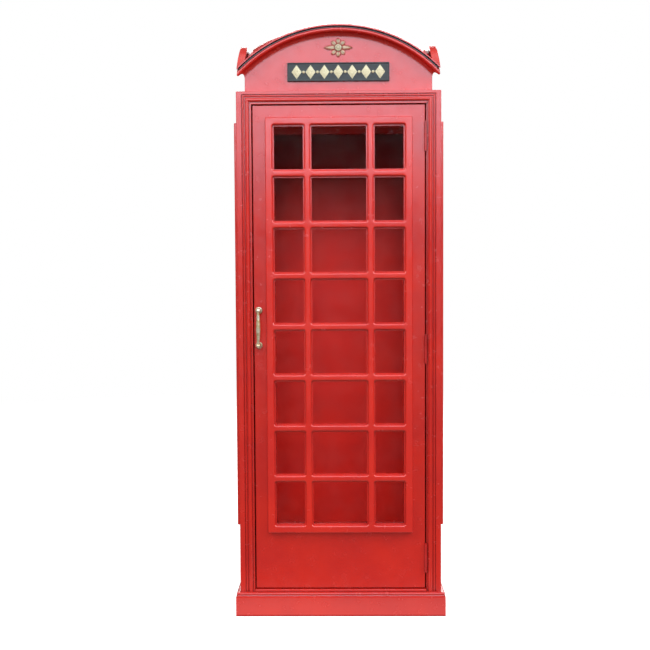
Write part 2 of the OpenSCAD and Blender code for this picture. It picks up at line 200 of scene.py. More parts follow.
def twin(piece: Piece, name: str) -> Piece:
    """Copy a piece, with its own mesh.

    Args:
        piece: the piece to copy.
        name: the copy's name.

    Returns:
        The copy.
    """
    take_up(piece)
    bpy.ops.object.duplicate()
    copy = bpy.context.object
    copy.name = name
    return copy


def joined(name: str, parts: Sequence[Piece]) -> Piece:
    """Join several parts into one piece.

    Args:
        name: the piece's name.
        parts: the parts, which are used up.

    Returns:
        The piece.
    """
    take_up(parts[0])
    for part in parts:
        part.select_set(True)
    bpy.ops.object.join()
    parts[0].name = name
    return parts[0]


def set_out(name: str, sample: Piece, places: Sequence[Point]) -> Piece:
    """Copy a sample to each place and join the copies, which uses the sample up.

    Args:
        name: the piece's name.
        sample: the part to copy, at the origin.
        places: where each copy's origin goes.

    Returns:
        The piece.
    """
    copies = [settle(twin(sample, "copy"), at=place) for place in places]
    bpy.data.objects.remove(sample)
    return joined(name, copies)


def panel(name: str, centre: Point, width: float, height: float) -> Piece:
    """Add a flat rectangle that stands upright and faces the front.

    Args:
        name: the piece's name.
        centre: its middle.
        width: its size along X.
        height: its size along Z.

    Returns:
        The rectangle.
    """
    deselect_all()
    bpy.ops.mesh.primitive_plane_add(size=1)
    piece = bpy.context.object
    piece.name = name
    return settle(piece, centre, (QUARTER, 0, 0), (width, height, 1))


def block(name: str, low: Point, high: Point) -> Piece:
    """Add a box between two opposite corners.

    Args:
        name: the piece's name.
        low: the corner with the least X, Y and Z.
        high: the corner with the greatest.

    Returns:
        The box.
    """
    deselect_all()
    bpy.ops.mesh.primitive_cube_add(size=1)
    piece = bpy.context.object
    piece.name = name
    low, high = Vector(low), Vector(high)
    return settle(piece, (low + high) / 2, (0, 0, 0), high - low)


def turned(name: str, profile: Sequence[tuple[float, float]], sides: int = 48) -> Piece:
    """Turn a solid about +Z: a filled ring, extruded and scaled to each step of a profile.

    Args:
        name: the piece's name.
        profile: (radius, height) of each step, from one end to the other.
        sides: the number of faces around.

    Returns:
        The closed piece, with its axis on Z.
    """
    (radius, height), *rest = profile
    deselect_all()
    bpy.ops.mesh.primitive_circle_add(vertices=sides, radius=radius, fill_type="NGON")
    piece = bpy.context.object
    piece.name = name
    settle(piece, (0, 0, height))
    with editing(piece):
        bpy.ops.mesh.select_all(action="SELECT")
        for next_radius, next_height in rest:
            rise = (0, 0, next_height - height)
            bpy.ops.mesh.extrude_region_move(TRANSFORM_OT_translate={"value": rise})
            ratio = next_radius / radius
            bpy.ops.transform.resize(value=(ratio, ratio, 1), center_override=(0, 0, next_height))
            radius, height = next_radius, next_height
    face_outwards(piece)
    return piece


def quarter_round(radius: float, steps: int) -> list[tuple[float, float]]:
    """Give the (along, away) step lengths of a quarter circle that starts along a flat.

    Args:
        radius: the circle's radius.
        steps: how many steps it has.

    Returns:
        The steps, in order.
    """
    angles = [QUARTER * k / steps for k in range(steps + 1)]
    return [(radius * (math.sin(b) - math.sin(a)), radius * (math.cos(a) - math.cos(b)))
            for a, b in zip(angles, angles[1:])]


def cut(piece: Piece, cutter: Piece, operation: str = "DIFFERENCE") -> Piece:
    """Cut a piece with another, which is used up.

    Args:
        piece: the piece to cut.
        cutter: the piece that cuts it.
        operation: the boolean operation.

    Returns:
        The first piece.
    """
    take_up(piece)
    bpy.ops.object.modifier_add(type="BOOLEAN")
    tool = piece.modifiers[-1]
    tool.operation, tool.solver, tool.object = operation, "EXACT", cutter
    bpy.ops.object.modifier_apply(modifier=tool.name)
    bpy.data.objects.remove(cutter)
    return piece


def face_room(edge: bmesh.types.BMEdge) -> float:
    """Give the width of the narrower of the two faces at an edge, measured away from it.

    Args:
        edge: an edge between two faces.

    Returns:
        The width.
    """
    start = edge.verts[0].co
    along = (edge.verts[1].co - start).normalized()

    def reach(face: bmesh.types.BMFace) -> float:
        """Give how far a face goes from the edge."""
        return max((v.co - start - along * along.dot(v.co - start)).length for v in face.verts)

    return min(reach(face) for face in edge.link_faces)


def planed(node: str, soft: float = 1.2 * MM, shortest: float = 6 * MM,
           mates: Sequence[str] = (), angle: float = 32) -> Piece:
    """Copy a CAD node, merge its triangles, and round over its long sharp edges.

    Args:
        node: the CAD node to copy.
        soft: radius of the rounded edges.
        shortest: edges shorter than this stay sharp.
        mates: nodes whose faces run on flush, so that the joint shows no groove.
        angle: edges steeper than this many degrees shade sharp.

    Returns:
        The new piece.
    """
    source = frame["nodes"][node]
    piece = bpy.data.objects.new("finished_" + node, source.data.copy())
    bpy.context.scene.collection.objects.link(piece)
    take_up(piece)
    bpy.ops.mesh.customdata_custom_splitnormals_clear()
    boxes = [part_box(mate) for mate in mates]

    def inside(point: Vector, box: tuple[Vector, Vector]) -> bool:
        """Tell whether a point is in a box."""
        return all(box[0][a] < point[a] < box[1][a] for a in (X, Y, Z))

    def runs_on(edge: bmesh.types.BMEdge) -> bool:
        """Tell whether a mate carries one of the edge's faces on past it.

        Args:
            edge: an edge between two faces.

        Returns:
            True if it does.
        """
        middle = (edge.verts[0].co + edge.verts[1].co) / 2
        one, two = (face.normal for face in edge.link_faces)
        reach = 0.3 * MM
        return any(inside(middle + (past - here) * reach, box)
                   and not inside(middle + (past + here) * reach, box)
                   for here, past in ((one, two), (two, one)) for box in boxes)

    def is_soft(edge: bmesh.types.BMEdge) -> bool:
        """Tell whether an edge is long, sharp, outside and free of a flush joint.

        Args:
            edge: any edge of the piece.

        Returns:
            True if it is to be rounded over.
        """
        return (len(edge.link_faces) == 2 and edge.is_convex
                and edge.calc_length() > shortest
                and edge.calc_face_angle(0) > math.radians(35)
                and face_room(edge) > 2.2 * soft and not runs_on(edge))

    with editing(piece):
        bpy.ops.mesh.select_all(action="SELECT")
        bpy.ops.mesh.remove_doubles(threshold=TOUCH / 2)
        bpy.ops.mesh.mark_sharp(clear=True)
        bpy.ops.mesh.dissolve_limited(angle_limit=math.radians(0.2))
        if pick(piece, Kind.EDGES, is_soft):
            bpy.ops.mesh.bevel(offset=soft, segments=3, profile=0.5, clamp_overlap=False)
    return smooth(piece, angle)


# ---- finishes ----


def linear(code: str) -> tuple[float, float, float, float]:
    """Turn an sRGB hex colour into Blender's linear colour.

    Args:
        code: the colour, as #rrggbb.

    Returns:
        Its red, green, blue and alpha.
    """
    parts = [int(code[i:i + 2], 16) / 255 for i in (1, 3, 5)]
    return (*(c / 12.92 if c <= 0.04045 else ((c + 0.055) / 1.055) ** 2.4 for c in parts), 1.0)


def add(tree: Tree, kind: str, feeds: dict | None = None, **settings: object) -> bpy.types.Node:
    """Add a node with its settings, and feed each input a socket or a constant.

    Args:
        tree: the node tree to build in.
        kind: the node's type.
        feeds: what each input gets, by its name or number.
        **settings: the node's own settings.

    Returns:
        The node.
    """
    node = tree.nodes.new(kind)
    for name, value in settings.items():
        setattr(node, name, value)
    for name, value in (feeds or {}).items():
        if isinstance(value, bpy.types.NodeSocket):
            tree.links.new(value, node.inputs[name])
        else:
            node.inputs[name].default_value = value
    return node


@dataclass(frozen=True)
class Finish:
    """A finish: each kind builds its own node tree on a Principled shader."""

    name: str

    def material(self) -> bpy.types.Material:
        """Build the material once and give it out to each piece.

        Returns:
            The material.
        """
        known = bpy.data.materials.get(self.name)
        if known:
            return known
        made = bpy.data.materials.new(self.name)
        made.use_nodes = True
        tree = made.node_tree
        tree.nodes.clear()
        surface = self.build(tree)
        add(tree, "ShaderNodeOutputMaterial", {"Surface": surface})
        return made

    def build(self, tree: Tree) -> bpy.types.NodeSocket:
        """Build the nodes.

        Args:
            tree: the material's empty node tree.

        Returns:
            The shader's output.
        """
        raise NotImplementedError

    @staticmethod
    def grain(tree: Tree, size: float, stretch: Point = (1, 1, 1), detail: float = 2,
              rough: float = 0.5) -> bpy.types.NodeSocket:
        """Give a noise on the object's own coordinates, with features of this size.

        Args:
            tree: the node tree to build in.
            size: about how far apart its features are.
            stretch: the scale of its coordinates along X, Y and Z.
            detail: how many finer layers it has.
            rough: how strong they are.

        Returns:
            The noise, from 0 to 1.
        """
        place = add(tree, "ShaderNodeTexCoord").outputs["Object"]
        stretched = add(tree, "ShaderNodeMapping", {"Vector": place, "Scale": stretch})
        noise = add(tree, "ShaderNodeTexNoise", {
            "Vector": stretched.outputs[0], "Scale": 1 / size, "Detail": detail,
            "Roughness": rough})
        return noise.outputs[0]

    @staticmethod
    def ranged(tree: Tree, value: bpy.types.NodeSocket, low: float, high: float,
               new_low: float = 0.0, new_high: float = 1.0) -> bpy.types.NodeSocket:
        """Map a value from one range to another, held at both ends.

        Args:
            tree: the node tree to build in.
            value: the value.
            low: where its range starts.
            high: where its range ends.
            new_low: what it becomes at the start.
            new_high: what it becomes at the end.

        Returns:
            The new value.
        """
        return add(tree, "ShaderNodeMapRange", {
            "Value": value, "From Min": low, "From Max": high,
            "To Min": new_low, "To Max": new_high}).outputs[0]

    @staticmethod
    def blended(tree: Tree, share: bpy.types.NodeSocket, first: object,
                second: object) -> bpy.types.NodeSocket:
        """Mix two colours by a share from 0 to 1."""
        return add(tree, "ShaderNodeMix", {0: share, 6: first, 7: second},
                   data_type="RGBA").outputs[2]

    @staticmethod
    def hollows(tree: Tree, reach: float) -> bpy.types.NodeSocket:
        """Give how open the surface is: 1 in the open, towards 0 in a narrow hollow."""
        return add(tree, "ShaderNodeAmbientOcclusion", {"Distance": reach},
                   samples=6).outputs["AO"]

    @staticmethod
    def position(tree: Tree) -> Sequence[bpy.types.NodeSocket]:
        """Give the object's own X, Y and Z, in metres."""
        place = add(tree, "ShaderNodeTexCoord").outputs["Object"]
        return add(tree, "ShaderNodeSeparateXYZ", {"Vector": place}).outputs

    @staticmethod
    def bumped(tree: Tree, height: bpy.types.NodeSocket, strength: float, depth: float,
               under: bpy.types.NodeSocket | None = None) -> bpy.types.NodeSocket:
        """Give the normal of a surface with this relief, over another relief if there is one.

        Args:
            tree: the node tree to build in.
            height: the relief, from 0 to 1.
            strength: how much of the relief shows.
            depth: how deep the relief is, in metres.
            under: the normal of the coarser relief below it.

        Returns:
            The normal's socket.
        """
        feeds = {"Strength": strength, "Distance": depth, "Height": height}
        if under is not None:
            feeds["Normal"] = under
        return add(tree, "ShaderNodeBump", feeds).outputs[0]


@dataclass(frozen=True)
class Enamel(Finish):
    """Alkyd enamel sprayed over sanded timber or primed metal.

    The eye gets a deep even red with a soft sheen, a faint orange peel and board
    waviness in the highlights, narrow dark lines of painted shade in the hollows, and a coat that
    looks a little paler where it is thick and dusty.
    """

    body: str = "#d02316"
    thick: str = "#c41f18"
    # Painted shade: the next colour darkens the coat in hollows found by ambient occlusion, with the
    # reach and shares below.
    hollow_shade: str = "#84141a"
    roughness: float = 0.22
    shade_reach: float = 6 * MM
    shade_full: float = 0.2
    shade_none: float = 0.75
    peel: float = 2.6 * MM
    peel_depth: float = 0.05 * MM
    wave: float = 45 * MM
    wave_depth: float = 0.3 * MM
    ior: float = 1.66

    def build(self, tree: Tree) -> bpy.types.NodeSocket:
        """Build the nodes.

        Args:
            tree: the material's empty node tree.

        Returns:
            The shader's output.
        """
        cloud = self.ranged(tree, self.grain(tree, 160 * MM, detail=4), 0.35, 0.65)
        coat = self.blended(tree, cloud, linear(self.body), linear(self.thick))
        # Painted shade: the coat darkens in creases and grooves, where ambient occlusion finds a
        # hollow.
        open_air = self.ranged(tree, self.hollows(tree, self.shade_reach),
                               self.shade_full, self.shade_none)
        colour = self.blended(tree, open_air, linear(self.hollow_shade), coat)
        # Rollered primer under the enamel leaves long shallow waves.
        wave = self.grain(tree, self.wave, (1, 1, 0.35), detail=3)
        wavy = self.bumped(tree, wave, 0.5, self.wave_depth)
        # Peel on sprayed enamel is about 1 mm across, and is drawn at 2.6 mm to show.
        peeled = self.bumped(tree, self.grain(tree, self.peel), 0.2, self.peel_depth, wavy)
        rubbed = self.ranged(tree, self.grain(tree, 30 * MM, detail=5), 0.3, 0.7,
                             self.roughness - 0.05, self.roughness + 0.07)
        return add(tree, "ShaderNodeBsdfPrincipled", {
            "Base Color": colour, "Roughness": rubbed, "Normal": peeled,
            "IOR": self.ior}).outputs[0]


@dataclass(frozen=True)
class TwoFacedEnamel(Finish):
    """Enamel sprayed on both faces of an upright panel, with painted light and shade inside.

    The eye gets the cabin's red outside, and inside a matt red painted brighter to stand in
    for light, darkening towards the top into painted shade under the ceiling.
    """

    # The inside enamel is a brighter copy of the red as painted light; the third enamel is painted
    # shade, mixed in over the last stretch below the top.
    inside: Enamel
    outside: Enamel
    shade_enamel: Enamel
    middle: float
    top: float
    shade_span: float = 520 * MM

    def build(self, tree: Tree) -> bpy.types.NodeSocket:
        """Build the nodes.

        Args:
            tree: the material's empty node tree.

        Returns:
            The shader's output.
        """
        _, depth, height = self.position(tree)
        outer = add(tree, "ShaderNodeMath", {0: depth, 1: self.middle},
                    operation="GREATER_THAN").outputs[0]
        # Painted shade: inside, the panel darkens towards its top, where the ceiling shades it.
        shading = self.ranged(tree, height, self.top - self.shade_span, self.top)
        inner = add(tree, "ShaderNodeMixShader", {
            0: shading, 1: self.inside.build(tree), 2: self.shade_enamel.build(tree)}).outputs[0]
        return add(tree, "ShaderNodeMixShader", {
            0: outer, 1: inner, 2: self.outside.build(tree)}).outputs[0]


@dataclass(frozen=True)
class GildedEnamel(Enamel):
    """Red enamel on cast iron, with gold paint rubbed over its high places.

    The eye gets red hollows with dark rims of painted shade, and dull gold on what stands proud.
    """

    gold: str = "#c2b492"
    low: float = 0.0
    high: float = 1.0

    def build(self, tree: Tree) -> bpy.types.NodeSocket:
        """Build the nodes.

        Args:
            tree: the material's empty node tree.

        Returns:
            The shader's output.
        """
        # Painted shade: dark rims in the hollows, from ambient occlusion.
        open_air = self.ranged(tree, self.hollows(tree, self.shade_reach), 0.35, 0.9)
        raised = self.ranged(tree, self.position(tree)[Y], self.low, self.high)
        worn = self.ranged(tree, self.grain(tree, 2.5 * MM, detail=4), 0.38, 0.62, -0.25, 0.25)
        share = add(tree, "ShaderNodeMath", {0: raised, 1: worn}, operation="ADD",
                    use_clamp=True).outputs[0]
        coat = self.blended(tree, share, linear(self.body), linear(self.gold))
        colour = self.blended(tree, open_air, linear(self.hollow_shade), coat)
        # Cast iron keeps the sand's grain of about 0.5 mm, drawn at 1.2 mm to show.
        cast = self.bumped(tree, self.grain(tree, 1.2 * MM, detail=3), 0.5, 0.15 * MM)
        return add(tree, "ShaderNodeBsdfPrincipled", {
            "Base Color": colour, "Roughness": self.roughness, "Normal": cast,
            "IOR": 1.5}).outputs[0]


@dataclass(frozen=True)
class SignEnamel(Finish):
    """Black enamel on a cast sign plate.

    The eye gets a satin near-black with a pebbled cast ground, dust in the corners and
    grey metal rubbed through along the border.
    """

    body: str = "#1b1613"
    worn: str = "#2c2522"
    dust: str = "#4a433d"

    def build(self, tree: Tree) -> bpy.types.NodeSocket:
        """Build the nodes.

        Args:
            tree: the material's empty node tree.

        Returns:
            The shader's output.
        """
        open_air = self.ranged(tree, self.hollows(tree, 5 * MM), 0.4, 0.95)
        patch = self.ranged(tree, self.grain(tree, 14 * MM, detail=5), 0.42, 0.68)
        coat = self.blended(tree, patch, linear(self.body), linear(self.worn))
        colour = self.blended(tree, open_air, linear(self.dust), coat)
        pebbled = self.bumped(tree, self.grain(tree, 1.6 * MM, detail=3), 0.6, 0.2 * MM)
        rubbed = self.ranged(tree, patch, 0.0, 1.0, 0.34, 0.5)
        return add(tree, "ShaderNodeBsdfPrincipled", {
            "Base Color": colour, "Roughness": rubbed, "Normal": pebbled,
            "IOR": 1.5}).outputs[0]


@dataclass(frozen=True)
class GoldPaint(Finish):
    """Aged gold paint on a cast relief.

    The eye gets a pale warm metallic cream on the faces, brown in the hollows and small
    specks where the paint is rubbed off.
    """

    body: str = "#d2c19a"
    rubbed: str = "#7c6a48"
    hollow: str = "#4a3a26"

    def build(self, tree: Tree) -> bpy.types.NodeSocket:
        """Build the nodes.

        Args:
            tree: the material's empty node tree.

        Returns:
            The shader's output.
        """
        open_air = self.ranged(tree, self.hollows(tree, 4 * MM), 0.3, 0.8)
        speck = self.ranged(tree, self.grain(tree, 3 * MM, detail=5, rough=0.65), 0.3, 0.46)
        paint = self.blended(tree, speck, linear(self.rubbed), linear(self.body))
        colour = self.blended(tree, open_air, linear(self.hollow), paint)
        brushed = self.bumped(tree, self.grain(tree, 1.5 * MM), 0.5, 0.15 * MM)
        return add(tree, "ShaderNodeBsdfPrincipled", {
            "Base Color": colour, "Metallic": 0.2, "Roughness": 0.36,
            "Normal": brushed}).outputs[0]


@dataclass(frozen=True)
class AgedBrass(Finish):
    """Polished brass, handled for years.

    The eye gets a bright warm metal where hands rub it, brown tarnish in the hollows and
    toward the ends, and fine scratches along the grip.
    """

    bright: str = "#f3e7cc"
    dull: str = "#c7ab74"
    tarnish: str = "#5b4322"

    def build(self, tree: Tree) -> bpy.types.NodeSocket:
        """Build the nodes.

        Args:
            tree: the material's empty node tree.

        Returns:
            The shader's output.
        """
        open_air = self.ranged(tree, self.hollows(tree, 8 * MM), 0.45, 0.95)
        cloud = self.ranged(tree, self.grain(tree, 13 * MM, detail=5), 0.36, 0.6)
        metal = self.blended(tree, cloud, linear(self.dull), linear(self.bright))
        colour = self.blended(tree, open_air, linear(self.tarnish), metal)
        # Scratches are a tenth of a millimetre wide, drawn at 0.6 mm to show.
        scratch = self.grain(tree, 0.6 * MM, (1, 1, 0.08))
        scratched = self.bumped(tree, scratch, 0.3, 0.05 * MM)
        rough = self.ranged(tree, cloud, 0.0, 1.0, 0.42, 0.3)
        return add(tree, "ShaderNodeBsdfPrincipled", {
            "Base Color": colour, "Metallic": 0.7, "Roughness": rough,
            "Normal": scratched}).outputs[0]


@dataclass(frozen=True)
class ZincSteel(Finish):
    """Zinc-plated pressed steel.

    The eye gets a cool satin grey with soft spangles and fine rolling lines.
    """

    body: str = "#b4b5b3"
    dark: str = "#8f908e"

    def build(self, tree: Tree) -> bpy.types.NodeSocket:
        """Build the nodes.

        Args:
            tree: the material's empty node tree.

        Returns:
            The shader's output.
        """
        spangle = self.ranged(tree, self.grain(tree, 5 * MM, detail=4), 0.3, 0.7)
        colour = self.blended(tree, spangle, linear(self.dark), linear(self.body))
        lines = self.grain(tree, 0.8 * MM, (1, 1, 0.1))
        rolled = self.bumped(tree, lines, 0.25, 0.04 * MM)
        rough = self.ranged(tree, spangle, 0.0, 1.0, 0.42, 0.3)
        return add(tree, "ShaderNodeBsdfPrincipled", {
            "Base Color": colour, "Metallic": 1.0, "Roughness": rough,
            "Normal": rolled}).outputs[0]


@dataclass(frozen=True)
class PlanedTimber(Finish):
    """Planed softwood, unpainted.

    The eye gets pale honey wood with darker growth rings stretched along the grain, and
    a dry, slightly fibrous surface.
    """

    pale: str = "#c6a271"
    ring: str = "#94693c"
    hollow_brown: str = "#4f3a22"
    stretch: tuple[float, float, float] = (0.06, 1, 1)

    def build(self, tree: Tree) -> bpy.types.NodeSocket:
        """Build the nodes.

        Args:
            tree: the material's empty node tree.

        Returns:
            The shader's output.
        """
        figure = self.grain(tree, 9 * MM, self.stretch, detail=5, rough=0.6)
        rings = self.ranged(tree, figure, 0.38, 0.62)
        fibre = self.grain(tree, 1.2 * MM, tuple(0.5 * s for s in self.stretch), detail=3)
        colour = self.blended(tree, rings, linear(self.ring), linear(self.pale))
        # The wood darkens to a brown where ambient occlusion finds a hollow or a meeting part.
        open_air = self.ranged(tree, self.hollows(tree, 25 * MM), 0.3, 1.0)
        hollow_toned = self.blended(tree, open_air, linear(self.hollow_brown), colour)
        return add(tree, "ShaderNodeBsdfPrincipled", {
            "Base Color": hollow_toned, "Roughness": 0.68,
            "Normal": self.bumped(tree, fibre, 0.5, 0.15 * MM)}).outputs[0]


@dataclass(frozen=True)
class WindowGlass(Finish):
    """Clear float glass, lightly dusty.

    The eye gets a clear view with a faint grey-green cast, a weak mirror of the room and
    a trace of dust.
    """

    tint: str = "#fafcfb"
    dust: str = "#c9c3bb"

    def build(self, tree: Tree) -> bpy.types.NodeSocket:
        """Build the nodes.

        Args:
            tree: the material's empty node tree.

        Returns:
            The shader's output.
        """
        clear = add(tree, "ShaderNodeBsdfTransparent", {"Color": linear(self.tint)})
        mirror = add(tree, "ShaderNodeBsdfGlossy", {"Roughness": 0.04})
        edge = add(tree, "ShaderNodeFresnel", {"IOR": 1.05})
        pane = add(tree, "ShaderNodeMixShader", {
            0: edge.outputs[0], 1: clear.outputs[0], 2: mirror.outputs[0]})
        film = add(tree, "ShaderNodeBsdfDiffuse", {"Color": linear(self.dust)})
        amount = self.ranged(tree, self.grain(tree, 60 * MM, detail=6), 0.4, 0.8, 0.0, 0.01)
        return add(tree, "ShaderNodeMixShader", {
            0: amount, 1: pane.outputs[0], 2: film.outputs[0]}).outputs[0]


@dataclass(frozen=True)
class StudioFloor(Finish):
    """Matt white floor that fades into the white room."""

    clear_at: float = 6.5
    solid_to: float = 2.2

    def build(self, tree: Tree) -> bpy.types.NodeSocket:
        """Build the nodes.

        Args:
            tree: the material's empty node tree.

        Returns:
            The shader's output.
        """
        place = add(tree, "ShaderNodeTexCoord").outputs["Object"]
        away = add(tree, "ShaderNodeVectorMath", {0: place}, operation="LENGTH").outputs[1]
        fade = self.ranged(tree, away, self.solid_to, self.clear_at)
        speck = self.ranged(tree, self.grain(tree, 90 * MM, detail=4), 0.3, 0.7)
        paint = self.blended(tree, speck, linear("#f1f0ee"), linear("#f5f4f2"))
        matt = add(tree, "ShaderNodeBsdfPrincipled", {
            "Base Color": paint, "Roughness": 0.7, "Emission Color": (1, 1, 1, 1),
            "Emission Strength": 0.6})
        gone = add(tree, "ShaderNodeBsdfTransparent")
        return add(tree, "ShaderNodeMixShader", {
            0: fade, 1: matt.outputs[0], 2: gone.outputs[0]}).outputs[0]


BOARD_RED = Enamel("sprayed_red_enamel")
# Painted shade: the arch's coves and grooves darken to a near-black red over a wide reach.
ARCH_RED = Enamel("arch_red_enamel", hollow_shade="#3d0509", shade_reach=20 * MM, shade_full=0.55,
                  shade_none=1.0)
# Painted light: the inside red is brighter and matter than the outside's, standing in for the light
# that reaches the interior.
PAINTED_LIGHT_RED = Enamel("painted_light_red_enamel", body="#ee2218", thick="#e41f1a", roughness=0.45,
                       ior=1.4)
# Painted shade: a dark red for the unlit ceiling and the top of the back panel inside.
PAINTED_SHADE_RED = Enamel("painted_shade_red_enamel", body="#6c1210", thick="#5f100e", roughness=0.5, ior=1.4)
GRILLE_RED = Enamel("grille_red_enamel", body="#da281a", thick="#cf231b", roughness=0.21,
                    shade_reach=5 * MM, wave=30 * MM)
HINGE_RED = Enamel("painted_hinge_steel", body="#c81d19", thick="#8e1512", roughness=0.3,
                   shade_reach=3 * MM, wave=12 * MM)
SIGN_BLACK = SignEnamel("black_sign_enamel")
SIGN_GOLD = GoldPaint("aged_gold_paint")
BRASS = AgedBrass("hand_polished_brass")
ZINC = ZincSteel("zinc_plated_steel")
TIMBER = PlanedTimber("planed_softwood")
JOIST_TIMBER = PlanedTimber("planed_joist_softwood", stretch=(1, 0.06, 1))
GLASS = WindowGlass("clear_window_glass")
FLOOR = StudioFloor("matt_white_floor")


class Slot(Enum):
    """The record's finish slots."""

    RED = "red_enamel"
    TIMBER = "bare_timber"
    GLASS = "clear_glass"
    BRASS = "aged_brass"
    HINGE = "painted_hinge"
    ZINC = "zinc_steel"
    BLACK = "black_enamel"
    GOLD = "gilt"
    CAST = "red_cast_iron"


def dress(piece: Piece, finish: Finish, slot: Slot, *nodes: str) -> Piece:
    """Give a piece its finish and its body, and hide the nodes that it stands for.

    Args:
        piece: the finished mesh, in its place.
        finish: what it is made of.
        slot: the record's slot for that finish; not used.
        nodes: the CAD nodes that it replaces, all on one body.

    Returns:
        The same piece.
    """
    piece.data.materials.clear()
    piece.data.materials.append(finish.material())
    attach(piece, frame["nodes"][nodes[0]]["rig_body"])
    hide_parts(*nodes)
    log.info("%s: %d faces, %s", piece.name, len(piece.data.polygons), finish.name)
    return piece


def board(node: str, soft: float, finish: Finish = BOARD_RED, slot: Slot = Slot.RED,
          **planing: object) -> Piece:
    """Plane a copy of a CAD node and give it its finish.

    Args:
        node: the CAD node that the piece stands for.
        soft: radius of the rounded edges.
        finish: what it is made of.
        slot: the record's slot for that finish.
        **planing: anything else that planed() takes.

    Returns:
        The new piece.
    """
    return dress(planed(node, soft, **planing), finish, slot, node)


# ---- sub-assemblies ----


@dataclass
class Base:
    """Plinth boards, and the rails, joist and floor board that they hide."""

    plinth_edge: float = 0.8 * MM
    rough_edge: float = 1.5 * MM
    sill_edge: float = 2 * MM
    mitre: float = 100 * MM

    def build(self) -> None:
        """Build the base, leaving the plinth's short mitred ends sharp."""
        for side in ("front", "back", "left", "right"):
            board("plinth_" + side, self.plinth_edge, shortest=self.mitre)
        board("base_rails", self.rough_edge, TIMBER, Slot.TIMBER)
        board("floor_joist", self.rough_edge, JOIST_TIMBER, Slot.TIMBER)
        board("floor_board", self.rough_edge, JOIST_TIMBER, Slot.TIMBER)
        board("door_sill", self.sill_edge)


@dataclass
class Carcass:
    """Posts, headers, walls and the boards inside the cabin."""

    post_edge: float = 2 * MM
    board_edge: float = 1.2 * MM

    def build(self) -> None:
        """Build the carcass."""
        front_posts = ("post_front_left", "post_front_right")
        for post in front_posts:
            board(post, self.post_edge, mates=("door_header",))
        for post in ("post_back_left", "post_back_right"):
            board(post, self.post_edge)
        board("door_header", self.board_edge, mates=front_posts)
        board("wall_headers", self.board_edge)
        # The ceiling gets dark red as painted shade.
        board("ceiling_board", self.board_edge, PAINTED_SHADE_RED)
        # The cleats and door stops inside get the brighter red as painted light.
        for node in ("back_cleats", "door_stops"):
            board(node, self.board_edge, PAINTED_LIGHT_RED)
        # The back panel: red outside, and inside a brighter red as painted light that darkens
        # towards its top as painted shade.
        low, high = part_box("back_panel")
        both = TwoFacedEnamel("back_panel_enamel", PAINTED_LIGHT_RED, BOARD_RED, PAINTED_SHADE_RED,
                              middle=(low[Y] + high[Y]) / 2, top=high[Z])
        board("back_panel", self.board_edge, both)
        for side in ("left", "right"):
            stiles, rails = "stiles_" + side, ("top_rail_" + side, "lower_panel_" + side)
            board(stiles, self.board_edge, mates=rails)
            for rail in rails:
                board(rail, self.board_edge)


@dataclass
class Casing:
    """The reeded casing around the doorway, mitred at its upper corners."""

    edge: float = 0.6 * MM
    mitre: float = 100 * MM

    def build(self) -> None:
        """Build the three casing boards, leaving their short mitred ends sharp."""
        for side in ("left", "right", "top"):
            board("casing_" + side, self.edge, shortest=self.mitre)


